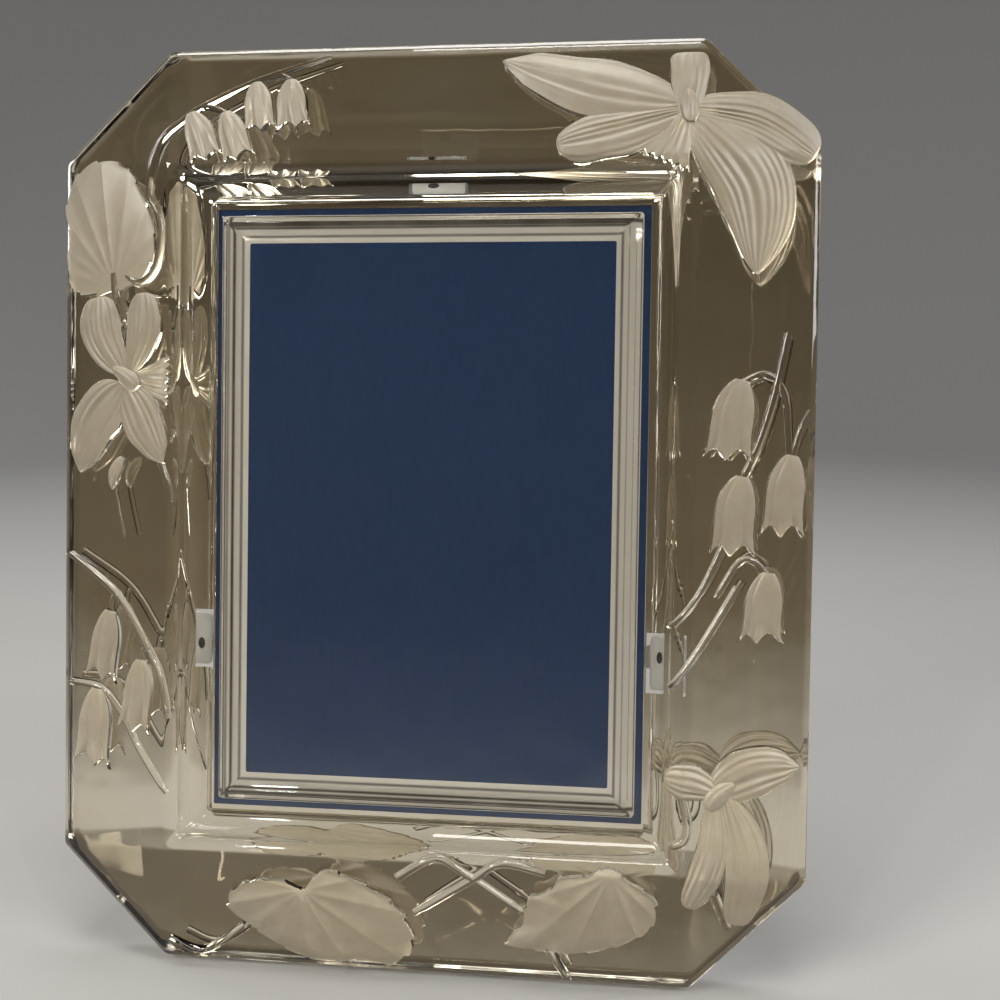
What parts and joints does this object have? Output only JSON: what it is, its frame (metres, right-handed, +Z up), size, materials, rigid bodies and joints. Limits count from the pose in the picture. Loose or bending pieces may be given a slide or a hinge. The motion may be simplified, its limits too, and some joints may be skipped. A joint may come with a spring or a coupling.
{
  "type": "picture frame",
  "caption": "standing crystal picture frame: octagonal pressed glass with frosted flower relief round a stepped window, velvet back with turn clips and hinged easel leg",
  "frame": {"origin": "middle of the footprint box on the table", "axes": "X to the viewer's right, Y from front to back, Z up; the window faces -Y and leans back 11 degrees"},
  "size_m": [0.184, 0.0748, 0.2217],
  "materials": {
    "crystal": "clear, relief frosted satin, border silvered behind",
    "navy_sheet": "matt",
    "navy_velvet": "velvet",
    "board": "matt",
    "hinge_brass": "satin",
    "clip_plastic": "translucent gloss",
    "pivot_steel": "dark satin"
  },
  "bodies": {
    "frame": {"crystal_body": "crystal", "front_liner": "navy_sheet", "backing_board": "board", "board_velvet": "navy_velvet", "hinge_board_leaf": "hinge_brass", "hinge_pin": "hinge_brass", "board_rivet_left": "hinge_brass", "board_rivet_right": "hinge_brass", "clip_pad_top": "clip_plastic", "clip_pivot_top": "pivot_steel", "clip_pad_left": "clip_plastic", "clip_pivot_left": "pivot_steel", "clip_pad_right": "clip_plastic", "clip_pivot_right": "pivot_steel"},
    "leg": {"easel_leg": "board", "leg_velvet": "navy_velvet", "hinge_leg_leaf": "hinge_brass", "leg_rivet_left": "hinge_brass", "leg_rivet_right": "hinge_brass"},
    "tab_top": {"clip_tab_top": "clip_plastic"},
    "tab_left": {"clip_tab_left": "clip_plastic"},
    "tab_right": {"clip_tab_right": "clip_plastic"}
  },
  "joints": [
    {"name": "leg_hinge", "type": "hinge", "parent": "frame", "child": "leg", "pos_m": [0, 0.00762, 0.14633], "axis": [-1, 0, 0], "range_deg": [0, 22]},
    {"name": "clip_turn_top", "type": "hinge", "parent": "frame", "child": "tab_top", "pos_m": [0, 0.01395, 0.19145], "axis": [0, -0.9816, 0.1908], "range_deg": [-90, 90]},
    {"name": "clip_turn_left", "type": "hinge", "parent": "frame", "child": "tab_left", "pos_m": [-0.059, -0.00837, 0.0766], "axis": [0, -0.9816, 0.1908], "range_deg": [-90, 90]},
    {"name": "clip_turn_right", "type": "hinge", "parent": "frame", "child": "tab_right", "pos_m": [0.059, -0.00837, 0.0766], "axis": [0, -0.9816, 0.1908], "range_deg": [-90, 90]}
  ]
}
